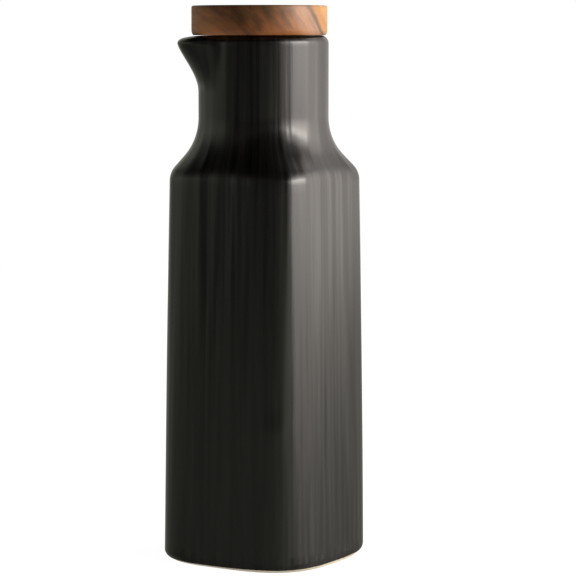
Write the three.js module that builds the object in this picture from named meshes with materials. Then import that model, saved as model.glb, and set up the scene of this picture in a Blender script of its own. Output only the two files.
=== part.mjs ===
import * as THREE from 'three';
import { mergeVertices } from 'three/addons/utils/BufferGeometryUtils.js';

// Soy sauce dispenser: a glazed stoneware bottle with a square body, a round neck and a spout pulled
// from the rim, closed by a round wooden lid that only rests on it.
// Millimetres, +Z up, origin under the middle of the foot, body faces along X and Y, spout over -X -Y.

// Body, a rounded square that widens towards its base, with sides that swell a little
const baseHalfWidth = 32.2;
const bodyTopHalfWidth = 30.2;
const bodyTopHeight = 142.8;
const bodySwell = 0.17;
const sectionExponent = 4.2;

// Foot, a ring round a shallow recess, with rounder corners than the body
const footHalfWidth = 31.6;
const footEdgeHeight = 3.4;
const footRingWidth = 5.6;
const footRecessDepth = 1.5;
const footExponent = 3.1;

// Shoulder, seen in outline: a hollow sweep under the neck, a slope and a round edge on the body
const neckBaseHeight = 166.6;
const sweepRadius = 21;
const edgeRadius = 8;
const shoulderSlope = THREE.MathUtils.degToRad(43);

// Neck and rim, set a little off the body's axis towards the spout
const neckRadius = 24.4;
const neckShift = 0.2;
const rimHeight = 196.7;
const rimOuterRound = 3;
const rimInnerRound = 0.8;

// Wall
const wallThickness = 4;
const floorThickness = 5;
const innerFloorRound = 6;

// Spout, pulled out of the rim over one corner of the body: it leaves the neck in a hollow curve and
// straightens up under the lip, which lies a little lower than the rim
const spoutDirection = THREE.MathUtils.degToRad(-135);
const spoutHalfAngle = THREE.MathUtils.degToRad(40);
const spoutStartHeight = 176.2;
const spoutReach = 8.2;
const spoutHollow = 1.7;
const spoutUpturn = 1.42;
const spoutLipDrop = 0.7;

// Lid, a disc with a short plug that drops into the neck
const lidRadius = 25.4;
const lidTopHeight = 208;
const lidRestGap = 0.3;
const lidTopRound = 0.8;
const lidBottomRoundWidth = 0.9;
const lidBottomRoundHeight = 2;
const lidShiftToSpout = 1.8;
const plugRadius = 17.6;
const plugLength = 9;
const plugRound = 1;

// Fineness: sides round the axis, steps along the half sections, and the distance that merges points
const bottleSides = 64;
const lidSides = 56;
const bodySteps = 4;
const shoulderSteps = 10;
const spoutSteps = 6;
const roundSteps = 3;
const mergeDistance = 1e-4;

// Directions on a half section, in degrees from +r towards +z
const outwards = 0;
const upwards = 90;
const inwards = 180;
const downwards = -90;

// How far the shoulder stands out beyond the neck at a height, in outline
const sweepDrop = sweepRadius * Math.sin(shoulderSlope);
const edgeDrop = edgeRadius * Math.sin(shoulderSlope);
const sweepOut = sweepRadius * (1 - Math.cos(shoulderSlope));
const edgeOut = edgeRadius * (1 - Math.cos(shoulderSlope));
const slopeDrop = neckBaseHeight - bodyTopHeight - sweepDrop - edgeDrop;
const shoulderOut = sweepOut + slopeDrop * Math.tan(shoulderSlope) + edgeOut;

function shoulderOutAt(z) {
  const below = neckBaseHeight - z;
  const above = z - bodyTopHeight;
  if (below <= 0) return 0;
  if (above <= 0) return shoulderOut;
  if (below < sweepDrop) return sweepRadius - Math.sqrt(sweepRadius ** 2 - below ** 2);
  if (above > edgeDrop) return sweepOut + (below - sweepDrop) * Math.tan(shoulderSlope);
  return shoulderOut - edgeRadius + Math.sqrt(edgeRadius ** 2 - above ** 2);
}

// 0 on the round neck, 1 on the square body
function shoulderBlend(z) {
  return shoulderOutAt(z) / shoulderOut;
}

// Half width of the body's sides, before the foot's rounding
function bodyHalfWidthAt(z) {
  const straight = THREE.MathUtils.mapLinear(z, 0, bodyTopHeight, baseHalfWidth, bodyTopHalfWidth);
  const share = THREE.MathUtils.clamp(z / bodyTopHeight, 0, 1);
  return straight + bodySwell * (1 - (2 * share - 1) ** 2);
}

// Half width at the middle of a face, outside and inside, from body to neck
function outsideHalfWidthAt(z) {
  return THREE.MathUtils.lerp(neckRadius, bodyHalfWidthAt(z), shoulderBlend(z));
}

function insideHalfWidthAt(z) {
  return outsideHalfWidthAt(z) - wallThickness;
}

// Distance to a rounded square of half width 1, in a direction from its middle, rounder at the foot
function roundedSquareReach(angle, z) {
  const belowFootEdge = THREE.MathUtils.clamp(1 - z / footEdgeHeight, 0, 1);
  const exponent = THREE.MathUtils.lerp(sectionExponent, footExponent, belowFootEdge ** 2);
  const across = Math.abs(Math.cos(angle)) ** exponent;
  const along = Math.abs(Math.sin(angle)) ** exponent;
  return (across + along) ** (-1 / exponent);
}

// 1 along the spout, falling to 0 at its sides
function spoutLobe(angle) {
  const turn = angle - spoutDirection;
  const aside = Math.abs(Math.atan2(Math.sin(turn), Math.cos(turn)));
  if (aside >= spoutHalfAngle) return 0;
  return Math.cos((Math.PI / 2) * (aside / spoutHalfAngle)) ** 2;
}

// 0 where the spout leaves the neck, 1 under the rim's rounding and above
function spoutRise(z) {
  const lipHeight = rimHeight - rimOuterRound;
  return THREE.MathUtils.clamp((z - spoutStartHeight) / (lipHeight - spoutStartHeight), 0, 1);
}

// How far the spout's middle stands out at a height
function spoutOutAt(z) {
  return spoutReach * (1 - (1 - spoutRise(z) ** spoutHollow) ** spoutUpturn);
}

// How far the lip is lowered from the rim, all of it at the rim's top and along the spout's middle
function lipDropAt(angle, z) {
  const upTheLip = Math.max(z - rimHeight + rimOuterRound, 0) / rimOuterRound;
  return spoutLipDrop * upTheLip * spoutLobe(angle) ** 2;
}

// Points of a rounding on a half section, about its centre, from one direction to another
function roundPoints(centreR, centreZ, reachR, reachZ, fromDegrees, toDegrees) {
  const points = [];
  for (let step = 0; step <= roundSteps; step += 1) {
    const degrees = THREE.MathUtils.lerp(fromDegrees, toDegrees, step / roundSteps);
    const angle = THREE.MathUtils.degToRad(degrees);
    points.push(new THREE.Vector2(centreR + reachR * Math.cos(angle), centreZ + reachZ * Math.sin(angle)));
  }
  return points;
}

// Points up or down a wall after its first height, which the points before it give
function wallPoints(halfWidthAt, fromHeight, toHeight, steps) {
  const points = [];
  for (let step = 1; step <= steps; step += 1) {
    const z = THREE.MathUtils.lerp(fromHeight, toHeight, step / steps);
    points.push(new THREE.Vector2(halfWidthAt(z), z));
  }
  return points;
}

// Solid of revolution about +Z, merged into one closed mesh
function turned(section, sides) {
  const geometry = new THREE.LatheGeometry(section, sides);
  geometry.rotateX(Math.PI / 2);
  geometry.deleteAttribute('normal');
  geometry.deleteAttribute('uv');
  return mergeVertices(geometry, mergeDistance);
}

// Bottle's half section: from the middle of the foot up the outside, over the rim and down the inside
function bottleSection() {
  const footInnerEdge = footHalfWidth - footRingWidth;
  const footRoundWidth = bodyHalfWidthAt(footEdgeHeight) - footHalfWidth;
  const lipHeight = rimHeight - rimOuterRound;
  const lipCentre = neckRadius - rimOuterRound;
  const mouthHeight = rimHeight - rimInnerRound;
  const mouthCentre = neckRadius - wallThickness + rimInnerRound;
  const floorHeight = footRecessDepth + floorThickness;
  const floorRoundTop = floorHeight + innerFloorRound;
  const floorCentre = insideHalfWidthAt(floorRoundTop) - innerFloorRound;
  return [
    new THREE.Vector2(0, footRecessDepth),
    new THREE.Vector2(footInnerEdge - footRecessDepth, footRecessDepth),
    new THREE.Vector2(footInnerEdge, 0),
    ...roundPoints(footHalfWidth, footEdgeHeight, footRoundWidth, footEdgeHeight, downwards, outwards),
    ...wallPoints(outsideHalfWidthAt, footEdgeHeight, bodyTopHeight, bodySteps),
    ...wallPoints(outsideHalfWidthAt, bodyTopHeight, neckBaseHeight, shoulderSteps),
    ...wallPoints(outsideHalfWidthAt, neckBaseHeight, spoutStartHeight, 1),
    ...wallPoints(outsideHalfWidthAt, spoutStartHeight, lipHeight, spoutSteps).slice(0, -1),
    ...roundPoints(lipCentre, lipHeight, rimOuterRound, rimOuterRound, outwards, upwards),
    ...roundPoints(mouthCentre, mouthHeight, rimInnerRound, rimInnerRound, upwards, inwards),
    ...wallPoints(insideHalfWidthAt, mouthHeight, spoutStartHeight, spoutSteps),
    ...wallPoints(insideHalfWidthAt, spoutStartHeight, neckBaseHeight, 1),
    ...wallPoints(insideHalfWidthAt, neckBaseHeight, bodyTopHeight, shoulderSteps),
    ...wallPoints(insideHalfWidthAt, bodyTopHeight, floorRoundTop, bodySteps).slice(0, -1),
    ...roundPoints(floorCentre, floorRoundTop, innerFloorRound, innerFloorRound, outwards, downwards),
    new THREE.Vector2(0, floorHeight),
  ];
}

// Bottle: turned round, then squared below the neck, with the spout pulled out of the rim
function bottleGeometry() {
  const geometry = turned(bottleSection(), bottleSides);
  const position = geometry.attributes.position;
  for (let index = 0; index < position.count; index += 1) {
    const x = position.getX(index);
    const y = position.getY(index);
    const z = position.getZ(index);
    const angle = Math.atan2(y, x);
    const squareness = (shoulderBlend(z) * bodyHalfWidthAt(z)) / outsideHalfWidthAt(z);
    const squared = 1 + squareness * (roundedSquareReach(angle, z) - 1);
    const radius = Math.hypot(x, y) * squared + spoutOutAt(z) * spoutLobe(angle);
    const shift = neckShift * (1 - shoulderBlend(z));
    const shiftX = shift * Math.cos(spoutDirection);
    const shiftY = shift * Math.sin(spoutDirection);
    position.setXYZ(
      index,
      radius * Math.cos(angle) + shiftX,
      radius * Math.sin(angle) + shiftY,
      z - lipDropAt(angle, z),
    );
  }
  return geometry;
}

// Lid: its half section runs from the middle of the plug to the middle of the top, 0 at the underside
function lidGeometry() {
  const top = lidTopHeight - rimHeight - lidRestGap;
  const plugEdge = plugRadius - plugRound;
  const bottomEdge = lidRadius - lidBottomRoundWidth;
  const topEdge = lidRadius - lidTopRound;
  const section = [
    new THREE.Vector2(0, -plugLength),
    ...roundPoints(plugEdge, plugRound - plugLength, plugRound, plugRound, downwards, outwards),
    new THREE.Vector2(plugRadius, 0),
    ...roundPoints(
      bottomEdge,
      lidBottomRoundHeight,
      lidBottomRoundWidth,
      lidBottomRoundHeight,
      downwards,
      outwards,
    ),
    ...roundPoints(topEdge, top - lidTopRound, lidTopRound, lidTopRound, outwards, upwards),
    new THREE.Vector2(0, top),
  ];
  return turned(section, lidSides);
}

const blackGlaze = new THREE.MeshStandardMaterial({ color: 0x1a1a19, roughness: 0.42, metalness: 0 });
const oiledWood = new THREE.MeshStandardMaterial({ color: 0x6b4429, roughness: 0.55, metalness: 0 });

const bottle = new THREE.Mesh(bottleGeometry(), blackGlaze);
bottle.name = 'bottle';

const lid = new THREE.Mesh(lidGeometry(), oiledWood);
lid.name = 'lid';
lid.position.set(
  lidShiftToSpout * Math.cos(spoutDirection),
  lidShiftToSpout * Math.sin(spoutDirection),
  rimHeight + lidRestGap,
);

const dispenser = new THREE.Group();
dispenser.add(bottle, lid);

export default dispenser;
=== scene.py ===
import math

import bmesh
import bpy
from mathutils import Matrix, Vector, noise


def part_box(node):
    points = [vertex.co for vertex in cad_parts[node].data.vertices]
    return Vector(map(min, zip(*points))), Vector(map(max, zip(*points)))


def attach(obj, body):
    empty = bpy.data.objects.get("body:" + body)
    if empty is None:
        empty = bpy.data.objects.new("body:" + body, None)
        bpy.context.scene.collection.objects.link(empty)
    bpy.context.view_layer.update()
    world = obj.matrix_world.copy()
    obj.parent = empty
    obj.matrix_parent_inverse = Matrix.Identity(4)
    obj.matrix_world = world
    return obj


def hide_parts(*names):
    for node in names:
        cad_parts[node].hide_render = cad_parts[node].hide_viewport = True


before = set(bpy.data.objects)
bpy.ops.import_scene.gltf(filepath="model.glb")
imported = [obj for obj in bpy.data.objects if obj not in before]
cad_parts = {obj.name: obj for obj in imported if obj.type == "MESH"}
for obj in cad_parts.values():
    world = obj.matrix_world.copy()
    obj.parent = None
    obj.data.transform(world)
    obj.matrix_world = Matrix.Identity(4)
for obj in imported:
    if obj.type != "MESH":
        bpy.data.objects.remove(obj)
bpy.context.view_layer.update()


# Bottle
# One hollow piece of stoneware, cast in a mould: a square body that widens downwards, a shoulder that turns
# from square to round, a neck, and a spout pulled out of the rim. Shallow upright flutes are scraped into the
# soft clay, then all but the foot is dipped in black glaze.
bottle_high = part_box("bottle")[1]
lid_rest_gap = 0.0003
rim_clearance = 0.00002
rim_height = bottle_high.z + lid_rest_gap - rim_clearance
foot_edge_height = 0.0034
foot_edge_half_width = bottle_high.x
body_top_height = 0.1428
body_top_half_width = 0.0302
body_swell = 0.00017
neck_base_height = 0.1666
neck_radius = 0.0244
sweep_radius = 0.021
edge_radius = 0.008
shoulder_slope = math.radians(43)
sweep_drop = sweep_radius * math.sin(shoulder_slope)
edge_drop = edge_radius * math.sin(shoulder_slope)
sweep_out = sweep_radius * (1 - math.cos(shoulder_slope))
edge_out = edge_radius * (1 - math.cos(shoulder_slope))
slope_drop = neck_base_height - body_top_height - sweep_drop - edge_drop
shoulder_out = sweep_out + slope_drop * math.tan(shoulder_slope) + edge_out


def shoulder_out_at(z):
    below = neck_base_height - z
    above = z - body_top_height
    if below <= 0:
        return 0
    if above <= 0:
        return shoulder_out
    if below < sweep_drop:
        return sweep_radius - math.sqrt(sweep_radius**2 - below**2)
    if above > edge_drop:
        return sweep_out + (below - sweep_drop) * math.tan(shoulder_slope)
    return shoulder_out - edge_radius + math.sqrt(edge_radius**2 - above**2)


def lerp(start, end, share):
    return start + (end - start) * share


def smooth_step(low, high, value):
    share = min(max((value - low) / (high - low), 0), 1)
    return share * share * (3 - 2 * share)


def body_half_width(z):
    share = (z - foot_edge_height) / (body_top_height - foot_edge_height)
    swell = body_swell * max(1 - (2 * share - 1) ** 2, 0)
    return lerp(foot_edge_half_width, body_top_half_width, share) + swell


def outside_half_width(z):
    return lerp(neck_radius, body_half_width(z), shoulder_out_at(z) / shoulder_out)


wall_thickness = 0.004


def inside_half_width(z):
    return outside_half_width(z) - wall_thickness


def arc(centre, reach, start_degrees, end_degrees, steps):
    points = []
    for step in range(steps + 1):
        angle = math.radians(lerp(start_degrees, end_degrees, step / steps))
        points.append((centre[0] + reach[0] * math.cos(angle), centre[1] + reach[1] * math.sin(angle)))
    return points


def wall(half_width, start, end, steps):
    heights = [lerp(start, end, step / steps) for step in range(1, steps + 1)]
    return [(half_width(z), z) for z in heights]


foot_half_width = 0.0316
foot_ring_width = 0.0056
foot_recess_depth = 0.0015
floor_thickness = 0.005
inner_floor_round = 0.006
rim_outer_round = 0.003
rim_inner_round = 0.0008
spout_start_height = 0.1762
foot_inner_edge = foot_half_width - foot_ring_width
lip_height = rim_height - rim_outer_round
mouth_height = rim_height - rim_inner_round
floor_height = foot_recess_depth + floor_thickness
floor_round_top = floor_height + inner_floor_round
recess_centre = (foot_inner_edge - foot_recess_depth, 0)
foot_centre = (foot_half_width, foot_edge_height)
foot_round = (foot_edge_half_width - foot_half_width, foot_edge_height)
glaze_edge_degrees = -50
lip_centre = (neck_radius - rim_outer_round, lip_height)
mouth_centre = (neck_radius - wall_thickness + rim_inner_round, mouth_height)
floor_centre = (inside_half_width(floor_round_top) - inner_floor_round, floor_round_top)
half_section = [
    (0, foot_recess_depth),
    (foot_inner_edge / 2, foot_recess_depth),
    *arc(recess_centre, (foot_recess_depth, foot_recess_depth), 90, 0, steps=6),
    *arc(foot_centre, foot_round, -90, glaze_edge_degrees, steps=5),
    *arc(foot_centre, foot_round, glaze_edge_degrees, 0, steps=10)[1:],
    *wall(outside_half_width, foot_edge_height, body_top_height, steps=44),
    *wall(outside_half_width, body_top_height, neck_base_height, steps=34),
    *wall(outside_half_width, neck_base_height, spout_start_height, steps=5),
    *wall(outside_half_width, spout_start_height, lip_height, steps=18)[:-1],
    *arc(lip_centre, (rim_outer_round, rim_outer_round), 0, 90, steps=8),
    *arc(mouth_centre, (rim_inner_round, rim_inner_round), 90, 180, steps=6),
    *wall(inside_half_width, mouth_height, spout_start_height, steps=10),
    *wall(inside_half_width, spout_start_height, body_top_height, steps=16),
    *wall(inside_half_width, body_top_height, floor_round_top, steps=8)[:-1],
    *arc(floor_centre, (inner_floor_round, inner_floor_round), 0, -90, steps=6),
    (0, floor_height),
]
merge_distance = 1e-6


def turned(section, sides):
    mesh = bmesh.new()
    points = [mesh.verts.new((radius, 0, z)) for radius, z in section]
    for start, end in zip(points, points[1:]):
        mesh.edges.new((start, end))
    bmesh.ops.spin(
        mesh,
        geom=mesh.verts[:] + mesh.edges[:],
        cent=(0, 0, 0),
        axis=(0, 0, 1),
        angle=math.tau,
        steps=sides,
        use_merge=True,
    )
    bmesh.ops.remove_doubles(mesh, verts=mesh.verts[:], dist=merge_distance)
    for face in mesh.faces:
        face.smooth = True
    return mesh


bottle_sides = 384
bottle_mesh = turned(half_section, bottle_sides)

level_glaze_edge = foot_edge_height * (1 + math.sin(math.radians(glaze_edge_degrees)))
bare_clay_index = 1
for face in bottle_mesh.faces:
    middle = face.calc_center_median()
    if middle.z < level_glaze_edge and middle.xy.length > recess_centre[0]:
        face.material_index = bare_clay_index

section_exponent = 4.2
foot_exponent = 3.1
base_twist = math.radians(1.3)
body_top_twist = math.radians(-0.5)


def square_reach(angle, z):
    below_foot_edge = min(max(1 - z / foot_edge_height, 0), 1)
    exponent = lerp(section_exponent, foot_exponent, below_foot_edge**2)
    turned_angle = angle - lerp(base_twist, body_top_twist, min(z / body_top_height, 1))
    across = abs(math.cos(turned_angle)) ** exponent
    along = abs(math.sin(turned_angle)) ** exponent
    return (across + along) ** (-1 / exponent)


spout_direction = math.radians(-135)
spout_half_angle = math.radians(40)
spout_reach = 0.0082
spout_hollow = 1.7
spout_upturn = 1.42
spout_lip_drop = 0.00095


def spout_lobe(angle):
    turn = angle - spout_direction
    aside = abs(math.atan2(math.sin(turn), math.cos(turn)))
    if aside >= spout_half_angle:
        return 0
    return math.cos(math.pi / 2 * aside / spout_half_angle) ** 2


def spout_rise(z):
    return min(max((z - spout_start_height) / (lip_height - spout_start_height), 0), 1)


def spout_out(z):
    return spout_reach * (1 - (1 - spout_rise(z) ** spout_hollow) ** spout_upturn)


def lip_drop(angle, z):
    up_the_lip = max(z - lip_height, 0) / rim_outer_round
    return spout_lip_drop * up_the_lip * spout_lobe(angle) ** 2


def body_top_place(angle, z):
    reach = body_top_half_width * square_reach(angle, body_top_height)
    return Vector((reach * math.cos(angle), reach * math.sin(angle), z))


side_turn = math.tau / bottle_sides
walked = [0]
for side in range(bottle_sides):
    step = body_top_place((side + 1) * side_turn, 0) - body_top_place(side * side_turn, 0)
    walked.append(walked[-1] + step.length)


def share_walked(angle):
    return walked[round(angle / side_turn) % bottle_sides] / walked[-1]


flute_count = 28
flute_start = 0.18
flute_depth = 0.00007
flute_waver = 0.15
flute_fade_low = 0.078
flute_fade_high = 0.12
flute_share_low = 0.08
flute_share_neck = 0.3
waver_width = 0.01
waver_length = 0.06
scrape_width = 0.0017
scrape_length = 0.07
scrape_depth = 0.00007


def drawn_out(flow, width, length):
    return noise.noise(Vector((flow.x / width, flow.y / width, flow.z / length)))


def flute_relief(angle, flow):
    up_the_body = lerp(flute_share_low, 1, smooth_step(flute_fade_low, flute_fade_high, flow.z))
    up_the_neck = lerp(1, flute_share_neck, smooth_step(body_top_height, neck_base_height, flow.z))
    waver = flute_waver * drawn_out(flow, waver_width, waver_length)
    flute = math.cos(math.tau * (flute_count * share_walked(angle) + flute_start + waver))
    scrape = scrape_depth * drawn_out(flow, scrape_width, scrape_length)
    return (flute_depth * up_the_body * flute + scrape) * up_the_neck


lump_angle = math.radians(-51)
lump_half_angle = math.radians(9)
lump_height = 0.0515
lump_half_height = 0.009
lump_rise = 0.0003
lump_falloff = 2


def corner_lump(angle, z):
    aside = (angle - lump_angle) / lump_half_angle
    above = (z - lump_height) / lump_half_height
    return lump_rise * math.exp(-lump_falloff * (aside**2 + above**2))


glaze_thickness = 0.0001
glaze_edge_low = 0.0004
glaze_edge_high = 0.00135
glaze_edge_high_side = math.radians(5)
glaze_edge_share_on_face = 0.5
glaze_edge_waver = 0.00012
glaze_edge_wave = 0.009


def dipped_height(angle, z):
    tilt = (1 + math.cos(angle - glaze_edge_high_side)) / 2
    near_corner = (1 - math.cos(4 * angle)) / 2
    waver = glaze_edge_waver * noise.noise(body_top_place(angle, 0) / glaze_edge_wave)
    share = tilt * lerp(glaze_edge_share_on_face, 1, near_corner)
    edge = lerp(glaze_edge_low, glaze_edge_high, share) + waver
    if z <= level_glaze_edge:
        return z * edge / level_glaze_edge
    return lerp(edge, foot_edge_height, (z - level_glaze_edge) / (foot_edge_height - level_glaze_edge))


lean_direction = math.radians(33)
lean_at_top = 0.00034
neck_shift_to_spout = 0.0002
body_lean = lean_at_top * Vector((math.cos(lean_direction), math.sin(lean_direction)))
neck_shift = neck_shift_to_spout * Vector((math.cos(spout_direction), math.sin(spout_direction)))
flow_layer = bottle_mesh.verts.layers.float_vector.new("glaze_flow")
for vertex in bottle_mesh.verts:
    x, y, z = vertex.co
    angle = math.atan2(y, x)
    radius = math.hypot(x, y)
    blend = shoulder_out_at(z) / shoulder_out
    squareness = blend * body_half_width(z) / outside_half_width(z)
    outside = radius > outside_half_width(z) - wall_thickness / 2
    flow = body_top_place(angle, z)
    vertex[flow_layer] = flow
    if outside and 0 < z < foot_edge_height:
        bare = z <= level_glaze_edge
        z = dipped_height(angle, z)
        radius = foot_half_width + foot_round[0] * math.sqrt(1 - (1 - z / foot_edge_height) ** 2)
        radius -= glaze_thickness * bare
    radius *= lerp(1, square_reach(angle, z), squareness)
    radius += spout_out(z) * spout_lobe(angle)
    if outside and z > foot_edge_height:
        radius += flute_relief(angle, flow) + corner_lump(angle, z)
    shift = body_lean * blend * z / body_top_height + neck_shift * (1 - blend)
    z -= lip_drop(angle, z)
    vertex.co = (radius * math.cos(angle) + shift.x, radius * math.sin(angle) + shift.y, z)
bmesh.ops.recalc_face_normals(bottle_mesh, faces=bottle_mesh.faces[:])


def piece_from(mesh, name, materials):
    data = bpy.data.meshes.new(name)
    mesh.to_mesh(data)
    mesh.free()
    for material in materials:
        data.materials.append(material)
    piece = bpy.data.objects.new(name, data)
    bpy.context.scene.collection.objects.link(piece)
    return piece


def new_material(name):
    material = bpy.data.materials.new(name)
    material.use_nodes = True
    return material, material.node_tree.nodes["Principled BSDF"]


def add_node(owner, kind, **settings):
    node = owner.node_tree.nodes.new(kind)
    for key, value in settings.items():
        setattr(node, key, value)
    return node


def join(owner, output, socket):
    owner.node_tree.links.new(output, socket)


def scaled(owner, output, scale):
    mapping = add_node(owner, "ShaderNodeMapping")
    mapping.inputs["Scale"].default_value = scale
    join(owner, output, mapping.inputs["Vector"])
    return mapping.outputs["Vector"]


def noise_on(owner, output, detail):
    texture = add_node(owner, "ShaderNodeTexNoise")
    texture.inputs["Scale"].default_value = 1
    texture.inputs["Detail"].default_value = detail
    join(owner, output, texture.inputs["Vector"])
    return texture.outputs["Fac"]


def ramp_on(owner, output, stops):
    ramp = add_node(owner, "ShaderNodeValToRGB")
    elements = ramp.color_ramp.elements
    while len(elements) < len(stops):
        elements.new(1)
    for element, (position, colour) in zip(elements, stops):
        element.position = position
        element.color = (*colour, 1)
    join(owner, output, ramp.inputs["Fac"])
    return ramp.outputs["Color"]


def range_on(owner, output, low, high, new_low, new_high):
    node = add_node(owner, "ShaderNodeMapRange")
    node.inputs["From Min"].default_value = low
    node.inputs["From Max"].default_value = high
    node.inputs["To Min"].default_value = new_low
    node.inputs["To Max"].default_value = new_high
    join(owner, output, node.inputs["Value"])
    return node.outputs["Result"]


noise_low = 0.3
noise_high = 0.7


def noise_range_on(owner, output, new_low, new_high):
    return range_on(owner, output, noise_low, noise_high, new_low, new_high)


def bump_on(owner, output, distance, shader):
    node = add_node(owner, "ShaderNodeBump")
    node.inputs["Distance"].default_value = distance
    join(owner, output, node.inputs["Height"])
    join(owner, node.outputs["Normal"], shader.inputs["Normal"])


def black_glaze():
    material, shader = new_material("black_glaze")
    streak_width = 0.0022
    streak_length = 0.06
    streak_relief = 0.00006
    thick_glaze = (0.0007, 0.0007, 0.0006)
    thin_glaze = (0.0056, 0.0052, 0.0047)
    thick_from = 0.38
    thin_from = 0.68
    thick_roughness = 0.14
    thin_roughness = 0.24
    flow = add_node(material, "ShaderNodeAttribute", attribute_name="glaze_flow")
    scale = (1 / streak_width, 1 / streak_width, 1 / streak_length)
    streaks = noise_on(material, scaled(material, flow.outputs["Vector"], scale), detail=3)
    colour = ramp_on(material, streaks, [(thick_from, thick_glaze), (thin_from, thin_glaze)])
    join(material, colour, shader.inputs["Base Color"])
    roughness = noise_range_on(material, streaks, thick_roughness, thin_roughness)
    join(material, roughness, shader.inputs["Roughness"])
    bump_on(material, streaks, streak_relief, shader)
    return material


def bare_clay():
    material, shader = new_material("bare_clay")
    grain_size = 0.0006
    grain_relief = 0.00005
    dark_clay = (0.33, 0.28, 0.2)
    pale_clay = (0.5, 0.44, 0.34)
    place = add_node(material, "ShaderNodeTexCoord")
    grain = noise_on(material, scaled(material, place.outputs["Object"], [1 / grain_size] * 3), detail=3)
    colour = ramp_on(material, grain, [(noise_low, dark_clay), (noise_high, pale_clay)])
    join(material, colour, shader.inputs["Base Color"])
    shader.inputs["Roughness"].default_value = 0.85
    bump_on(material, grain, grain_relief, shader)
    return material


bottle = piece_from(bottle_mesh, "stoneware_bottle", [black_glaze(), bare_clay()])
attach(bottle, "root")
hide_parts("bottle")


# Lid
# A disc turned from one block of oiled brown hardwood with a pale edge of sapwood, its edges softly rounded.
# It lies on the rim, and a short plug under it keeps it in the neck.
lid_low, lid_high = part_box("lid")
lid_centre = (lid_low + lid_high) / 2
lid_radius = (lid_high.x - lid_low.x) / 2
lid_underside = bottle_high.z + lid_rest_gap
lid_top_round = 0.0008
lid_bottom_round = (0.0009, 0.002)
plug_radius = 0.0176
plug_round = 0.001
top_edge = (lid_radius - lid_top_round, lid_high.z - lid_top_round)
bottom_edge = (lid_radius - lid_bottom_round[0], lid_underside + lid_bottom_round[1])
plug_edge = (plug_radius - plug_round, lid_low.z + plug_round)
lid_section = [
    (0, lid_low.z),
    *arc(plug_edge, (plug_round, plug_round), -90, 0, steps=5),
    (plug_radius, lid_underside),
    *arc(bottom_edge, lid_bottom_round, -90, 0, steps=8),
    *arc(top_edge, (lid_top_round, lid_top_round), 0, 90, steps=6),
    (0, lid_high.z),
]
lid_sides = 192
lid_mesh = turned(lid_section, lid_sides)
bmesh.ops.translate(lid_mesh, verts=lid_mesh.verts[:], vec=(lid_centre.x, lid_centre.y, 0))
bmesh.ops.recalc_face_normals(lid_mesh, faces=lid_mesh.faces[:])

view_turn = math.radians(33)
view_right = Vector((math.cos(view_turn), math.sin(view_turn), 0))
view_away = Vector((-math.sin(view_turn), math.cos(view_turn), 0))
upwards = Vector((0, 0, 1))


def placed_at(owner, output, location, axes, scale):
    mapping = add_node(owner, "ShaderNodeMapping", vector_type="TEXTURE")
    mapping.inputs["Location"].default_value = location
    mapping.inputs["Rotation"].default_value = Matrix(axes).transposed().to_euler()
    mapping.inputs["Scale"].default_value = scale
    join(owner, output, mapping.inputs["Vector"])
    return mapping.outputs["Vector"]


def length_of(owner, vector):
    node = add_node(owner, "ShaderNodeVectorMath", operation="LENGTH")
    join(owner, vector, node.inputs[0])
    return node.outputs["Value"]


def summed(owner, first, second):
    node = add_node(owner, "ShaderNodeMath", operation="ADD")
    join(owner, first, node.inputs[0])
    join(owner, second, node.inputs[1])
    return node.outputs["Value"]


def multiplied(owner, first, second):
    node = add_node(owner, "ShaderNodeMix", data_type="RGBA", blend_type="MULTIPLY")
    node.inputs["Factor"].default_value = 1
    join(owner, first, node.inputs["A"])
    join(owner, second, node.inputs["B"])
    return node.outputs["Result"]


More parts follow.
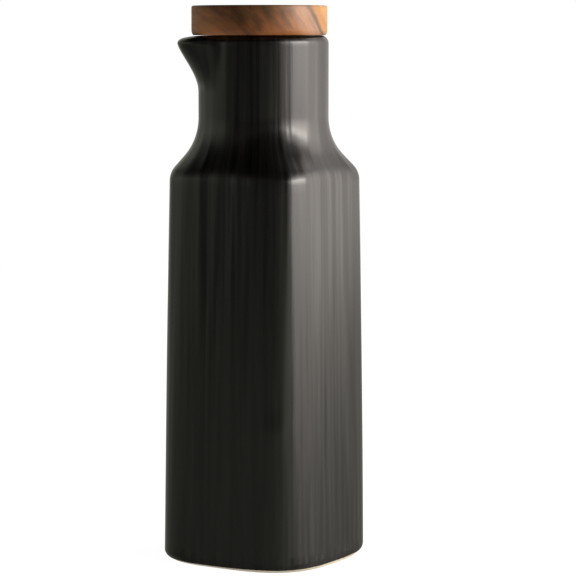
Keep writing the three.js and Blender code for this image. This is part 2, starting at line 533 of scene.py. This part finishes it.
def lid_wood():
    material, shader = new_material("lid_wood")
    pith_left = 0.0405
    pith_below = 0.0355
    pith_from_middle = view_right * -pith_left + upwards * -pith_below
    middle = Vector((lid_centre.x, lid_centre.y, (lid_underside + lid_high.z) / 2))
    outwards = -pith_from_middle.normalized()
    along_the_grain = -view_away
    across = along_the_grain.cross(outwards)
    place = add_node(material, "ShaderNodeTexCoord").outputs["Object"]
    block_axes = (outwards, across, along_the_grain)
    block = placed_at(material, place, middle + pith_from_middle, block_axes, (1, 1, 1))
    parts = add_node(material, "ShaderNodeSeparateXYZ")
    join(material, block, parts.inputs["Vector"])
    end_grain = add_node(material, "ShaderNodeCombineXYZ")
    join(material, parts.outputs["X"], end_grain.inputs["X"])
    join(material, parts.outputs["Y"], end_grain.inputs["Y"])
    ring = length_of(material, end_grain.outputs["Vector"])
    rings = add_node(material, "ShaderNodeCombineXYZ")
    join(material, ring, rings.inputs["X"])
    join(material, parts.outputs["Y"], rings.inputs["Y"])
    join(material, parts.outputs["Z"], rings.inputs["Z"])

    def grain(thickness, breadth, length, detail):
        scale = (1 / thickness, 1 / breadth, 1 / length)
        return noise_on(material, scaled(material, rings.outputs["Vector"], scale), detail)

    ring_waver = 0.0007
    clouds = grain(thickness=0.006, breadth=0.012, length=0.05, detail=2)
    wavy_ring = summed(material, ring, noise_range_on(material, clouds, -ring_waver, ring_waver))
    ring_bands_and_sheen = [
        # The first, innermost band is partly painted sheen: its lighter colour stands in for the grazing
        # light that brightens the lid's left end.
        (0.036, (0.28, 0.112, 0.035)),
        (0.042, (0.2, 0.072, 0.02)),
        (0.047, (0.115, 0.038, 0.01)),
        (0.05, (0.12, 0.036, 0.007)),
        (0.0535, (0.19, 0.062, 0.015)),
        (0.057, (0.172, 0.055, 0.012)),
        (0.061, (0.2, 0.07, 0.017)),
        (0.0635, (0.24, 0.1, 0.034)),
        (0.067, (0.28, 0.147, 0.083)),
        (0.0699, (0.29, 0.165, 0.098)),
        (0.0706, (0.15, 0.085, 0.05)),
        (0.0712, (0.15, 0.085, 0.05)),
        (0.0722, (0.37, 0.18, 0.063)),
        (0.078, (0.5, 0.25, 0.09)),
    ]
    inner_ring = ring_bands_and_sheen[0][0]
    outer_ring = ring_bands_and_sheen[-1][0]
    across_rings = range_on(material, wavy_ring, inner_ring, outer_ring, 0, 1)
    stops = [((radius - inner_ring) / (outer_ring - inner_ring), colour) for radius, colour in ring_bands_and_sheen]
    band_and_sheen_colour = ramp_on(material, across_rings, stops)

    heart_left = 0.003
    heart_above = 0.0043
    heart_reach = (0.0122, 0.05, 0.0067)
    heart_unevenness = 0.35
    heart_fades_from = 0.65
    heart_fades_to = 1.6
    heart_shade = (0.36, 0.47, 0.58)
    no_shade = (1, 1, 1)
    heart_place = middle + view_right * -heart_left + upwards * heart_above
    heart = placed_at(material, place, heart_place, (view_right, view_away, upwards), heart_reach)
    blotches = grain(thickness=0.003, breadth=0.006, length=0.03, detail=2)
    unevenness = noise_range_on(material, blotches, -heart_unevenness, heart_unevenness)
    from_heart = summed(material, length_of(material, heart), unevenness)
    beyond_heart = range_on(material, from_heart, heart_fades_from, heart_fades_to, 0, 1)
    dark_heart = ramp_on(material, beyond_heart, [(0, heart_shade), (1, no_shade)])
    wood_tone_and_sheen = multiplied(material, band_and_sheen_colour, dark_heart)

    dark_streak = 0.8
    pale_streak = 1.18
    streaks = grain(thickness=0.0014, breadth=0.007, length=0.04, detail=4)
    shade = noise_range_on(material, streaks, dark_streak, pale_streak)
    join(material, multiplied(material, wood_tone_and_sheen, shade), shader.inputs["Base Color"])

    oiled_roughness = 0.38
    pore_roughness = 0.52
    pore_relief = 0.00003
    shader.inputs["Specular IOR Level"].default_value = 0.3
    pores = grain(thickness=0.0006, breadth=0.0006, length=0.008, detail=2)
    roughness = noise_range_on(material, pores, oiled_roughness, pore_roughness)
    join(material, roughness, shader.inputs["Roughness"])
    bump_on(material, pores, pore_relief, shader)
    return material


lid = piece_from(lid_mesh, "wooden_lid", [lid_wood()])
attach(lid, "root")
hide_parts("lid")


# Table and light
# A plain white table top in front of plain white. Soft light comes from the right of the camera and from
# behind on that side; a dim wall stands on the left, and the camera's own side is nearly dark.
table_radius = 1.2
table_mesh = bmesh.new()
bmesh.ops.create_circle(table_mesh, cap_ends=True, segments=96, radius=table_radius)
table_material, table_shader = new_material("white_table")
table_shader.inputs["Base Color"].default_value = (0.15, 0.15, 0.15, 1)
table_shader.inputs["Roughness"].default_value = 0.9
table_shader.inputs["Emission Color"].default_value = (1, 1, 1, 1)
table_shader.inputs["Emission Strength"].default_value = 0.96
table = piece_from(table_mesh, "table_top", [table_material])
table.visible_glossy = False

world = bpy.data.worlds.new("soft_studio")
bpy.context.scene.world = world
world.use_nodes = True
place = add_node(world, "ShaderNodeTexCoord")
view_frame = add_node(world, "ShaderNodeMapping")
view_frame.inputs["Rotation"].default_value = (0, 0, -view_turn)
join(world, place.outputs["Generated"], view_frame.inputs["Vector"])
parts = add_node(world, "ShaderNodeSeparateXYZ")
join(world, view_frame.outputs["Vector"], parts.inputs["Vector"])
toward_camera = add_node(world, "ShaderNodeMath", operation="MULTIPLY")
toward_camera.inputs[1].default_value = -1
join(world, parts.outputs["Y"], toward_camera.inputs[0])
round_angle = add_node(world, "ShaderNodeMath", operation="ARCTAN2")
join(world, parts.outputs["X"], round_angle.inputs[0])
join(world, toward_camera.outputs["Value"], round_angle.inputs[1])
round_share = range_on(world, round_angle.outputs["Value"], -math.pi, math.pi, 0, 1)
height_angle = add_node(world, "ShaderNodeMath", operation="ARCSINE")
join(world, parts.outputs["Z"], height_angle.inputs[0])
height_share = range_on(world, height_angle.outputs["Value"], -math.pi / 2, math.pi / 2, 0, 1)


def studio_side(brightness, tint, round_levels, height_levels):
    round_stops = []
    for degrees, level in round_levels:
        round_stops.append(((degrees + 180) / 360, [level * part for part in tint]))
    height_stops = []
    for degrees, level in height_levels:
        height_stops.append(((degrees + 90) / 180, [level] * 3))
    around = ramp_on(world, round_share, round_stops)
    upright = ramp_on(world, height_share, height_stops)
    background = add_node(world, "ShaderNodeBackground")
    background.inputs["Strength"].default_value = brightness
    join(world, multiplied(world, around, upright), background.inputs["Color"])
    return background.outputs["Background"]


def added(first, second):
    both = add_node(world, "ShaderNodeAddShader")
    join(world, first, both.inputs[0])
    join(world, second, both.inputs[1])
    return both.outputs["Shader"]


warm_white = (1, 0.925, 0.87)
grey_green = (0.97, 1, 0.83)
window = studio_side(
    brightness=10.4,
    tint=warm_white,
    round_levels=[
        (0, 0.009),
        (20, 0.02),
        (28, 0.1),
        (34, 0.24),
        (47, 0.3),
        (51, 1),
        (83, 1),
        (90, 0.3),
        (98, 0),
    ],
    height_levels=[
        (-90, 0),
        (-14, 0.03),
        (-10, 0.055),
        (-6, 0.19),
        (-3, 0.32),
        (-1.5, 0.57),
        (0, 0.68),
        (8, 0.92),
        (16, 1.4),
        (20, 1.05),
        (24, 0.54),
        (34, 0.22),
        (40, 0.08),
        (60, 0.02),
        (90, 0),
    ],
)
right_wall = studio_side(
    brightness=5.3,
    tint=warm_white,
    round_levels=[
        (80, 0),
        (90, 0.55),
        (98, 0.86),
        (108, 0.86),
        (118, 0.44),
        (126, 0.34),
        (138, 0.21),
        (160, 0.16),
        (180, 0.08),
    ],
    height_levels=[
        (-90, 0.04),
        (-14, 0.08),
        (-9.4, 0.115),
        (-7.7, 0.18),
        (-6.5, 0.24),
        (-5.4, 0.5),
        (-4.3, 0.79),
        (-3, 1.09),
        (-1, 0.88),
        (4, 0.92),
        (12, 0.92),
        (24, 0.74),
        (36, 0.37),
        (48, 0.09),
        (70, 0.02),
    ],
)
rear_right = studio_side(
    brightness=2.2,
    tint=warm_white,
    round_levels=[(104, 0), (118, 0.5), (126, 1), (138, 0.7), (150, 0.3), (165, 0.08), (180, 0)],
    height_levels=[(26, 0), (36, 0.75), (43, 1), (50, 0.75), (57, 0.5), (66, 0.3), (80, 0.08)],
)
left_wall = studio_side(
    brightness=0.5,
    tint=grey_green,
    round_levels=[(-140, 0), (-118, 0.55), (-104, 1), (-78, 0.97), (-68, 0.12), (-56, 0.03), (-30, 0)],
    height_levels=[(-10, 0), (-5, 0.25), (-1, 0.8), (8, 1), (12, 0.55), (20, 0.08), (28, 0)],
)
rear_left = studio_side(
    brightness=0.5,
    tint=grey_green,
    round_levels=[(-180, 0.7), (-165, 1), (-145, 1), (-132, 0.8), (-120, 0.45), (-108, 0.4), (-92, 0)],
    height_levels=[(-14, 0.25), (-6, 0.5), (4, 0.5), (16, 0.8), (26, 1), (36, 0.9), (46, 0)],
)
table_and_room = studio_side(
    brightness=0.3,
    tint=grey_green,
    round_levels=[(-180, 0.6), (-100, 0.6), (-50, 0.85), (-10, 1), (60, 1), (180, 0.6)],
    height_levels=[
        (-90, 0.5),
        (-14, 0.9),
        (-9, 1.3),
        (-5, 0.65),
        (-2, 0.13),
        (0, 0.07),
        (10, 0.055),
        (20, 0.04),
        (90, 0.04),
    ],
)
front_glow = studio_side(
    brightness=0.36,
    tint=grey_green,
    round_levels=[(-14, 0), (5, 0.35), (12, 0.65), (20, 1.1), (28, 1.3), (36, 0.6), (44, 0)],
    height_levels=[(-30, 0.6), (-10, 1), (-4, 1.1), (-2, 0.9), (-1.4, 0.15), (0, 0)],
)
left_edge = studio_side(
    brightness=0.16,
    tint=grey_green,
    round_levels=[(-78, 0), (-70, 1), (-60, 0.7), (-52, 0)],
    height_levels=[(-1.2, 0), (0, 1), (8, 0.8), (14, 0)],
)
studio = window
for side in (right_wall, rear_right, left_wall, rear_left, table_and_room, front_glow, left_edge):
    studio = added(studio, side)
white = world.node_tree.nodes["Background"]
white.inputs["Color"].default_value = (1, 1, 1, 1)
rays = add_node(world, "ShaderNodeLightPath")
seen = add_node(world, "ShaderNodeMixShader")
join(world, rays.outputs["Is Camera Ray"], seen.inputs["Fac"])
join(world, studio, seen.inputs[1])
join(world, white.outputs["Background"], seen.inputs[2])
join(world, seen.outputs["Shader"], world.node_tree.nodes["World Output"].inputs["Surface"])


# Camera
# A long lens level with the lid's underside, turned 33 degrees from the face on the left and aimed a little
# to the right of the bottle's axis.
camera_distance = 0.9404
camera_height = 0.1971
aim_right = 0.00896
aim_height = 0.1019
camera_data = bpy.data.cameras.new("camera")
camera_data.sensor_width = 36
camera_data.lens = 156.25
camera = bpy.data.objects.new("camera", camera_data)
camera.location = view_away * -camera_distance + upwards * camera_height
aim = view_right * aim_right + upwards * aim_height
camera.rotation_euler = (aim - camera.location).to_track_quat("-Z", "Y").to_euler()
bpy.context.scene.collection.objects.link(camera)
bpy.context.scene.camera = camera
bpy.context.scene.view_settings.view_transform = "Standard"
